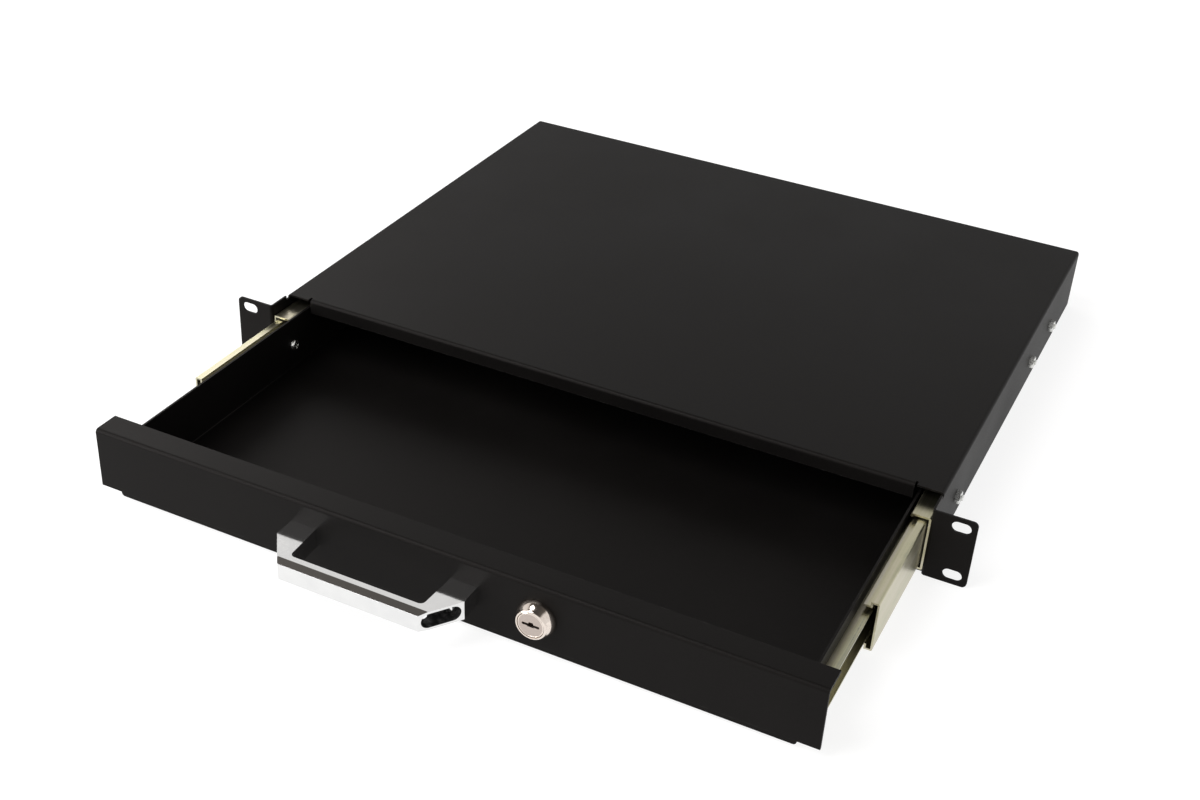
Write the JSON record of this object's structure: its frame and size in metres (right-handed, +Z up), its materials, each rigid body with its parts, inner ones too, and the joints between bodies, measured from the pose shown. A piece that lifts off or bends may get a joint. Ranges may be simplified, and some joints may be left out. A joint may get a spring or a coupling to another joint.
{
  "type": "sliding rack drawer",
  "caption": "One-unit sliding drawer for a 19 inch rack: folded steel casing with slotted ears, ball-bearing slides, bridge pull handle and cam lock.",
  "frame": {"origin": "centre of the four rack-ear slots, in the plane of the ears' front faces", "axes": "+X to the right seen from the front, +Y to the rear of the rack, +Z up"},
  "size_m": [0.4826, 0.5589, 0.0436],
  "materials": {
    "black_powder_coat": "fine-textured black powder coat",
    "zinc_slide": "bright zinc plate with a faint yellow-green tint",
    "zinc_fixing": "bright zinc plate",
    "bearing_steel": "polished bearing steel",
    "cage_steel": "plain pressed steel, light grease",
    "chrome": "polished chrome on die-cast zinc",
    "nickel": "satin nickel plate on die-cast zinc"
  },
  "bodies": {
    "casing": {"casing_shell": "black_powder_coat", "casing_screws": "zinc_fixing", "casing_nuts": "zinc_fixing", "left_outer_rail": "zinc_slide", "right_outer_rail": "zinc_slide"},
    "drawer": {"drawer_tray": "black_powder_coat", "front_panel": "black_powder_coat", "tray_screws": "zinc_fixing", "pull_handle": "chrome", "handle_screws": "zinc_fixing", "lock_housing": "nickel", "lock_nut": "zinc_fixing", "left_inner_rail": "zinc_slide", "right_inner_rail": "zinc_slide"},
    "lock_core": {"lock_plug": "nickel", "lock_cam": "zinc_fixing", "cam_screw": "zinc_fixing"},
    "left_middle": {"left_middle_rail": "zinc_slide"},
    "right_middle": {"right_middle_rail": "zinc_slide"},
    "left_outer_cage": {"left_outer_cage": "cage_steel", "left_outer_balls": "bearing_steel"},
    "right_outer_cage": {"right_outer_cage": "cage_steel", "right_outer_balls": "bearing_steel"},
    "left_inner_cage": {"left_inner_cage": "cage_steel", "left_inner_balls": "bearing_steel"},
    "right_inner_cage": {"right_inner_cage": "cage_steel", "right_inner_balls": "bearing_steel"}
  },
  "joints": [
    {"name": "drawer_slide", "type": "slide", "parent": "casing", "child": "drawer", "axis": [0, -1, 0], "range_m": [-0.1644, 0.1556]},
    {"name": "left_middle_slide", "type": "slide", "parent": "casing", "child": "left_middle", "axis": [0, -1, 0], "range_m": [-0.0822, 0.0778]},
    {"name": "left_outer_cage_slide", "type": "slide", "parent": "casing", "child": "left_outer_cage", "axis": [0, -1, 0], "range_m": [-0.0411, 0.0389]},
    {"name": "left_inner_cage_slide", "type": "slide", "parent": "casing", "child": "left_inner_cage", "axis": [0, -1, 0], "range_m": [-0.1233, 0.1167]},
    {"name": "right_middle_slide", "type": "slide", "parent": "casing", "child": "right_middle", "axis": [0, -1, 0], "range_m": [-0.0822, 0.0778]},
    {"name": "right_outer_cage_slide", "type": "slide", "parent": "casing", "child": "right_outer_cage", "axis": [0, -1, 0], "range_m": [-0.0411, 0.0389]},
    {"name": "right_inner_cage_slide", "type": "slide", "parent": "casing", "child": "right_inner_cage", "axis": [0, -1, 0], "range_m": [-0.1233, 0.1167]},
    {"name": "lock_turn", "type": "hinge", "parent": "drawer", "child": "lock_core", "pos_m": [0.0625, -0.1644, 0.0022], "axis": [0, 1, 0], "range_deg": [0, 90]}
  ],
  "couplings": [
    {"joint": "left_middle_slide", "follows": "drawer_slide", "ratio": 0.5},
    {"joint": "left_outer_cage_slide", "follows": "drawer_slide", "ratio": 0.25},
    {"joint": "left_inner_cage_slide", "follows": "drawer_slide", "ratio": 0.75},
    {"joint": "right_middle_slide", "follows": "drawer_slide", "ratio": 0.5},
    {"joint": "right_outer_cage_slide", "follows": "drawer_slide", "ratio": 0.25},
    {"joint": "right_inner_cage_slide", "follows": "drawer_slide", "ratio": 0.75}
  ]
}
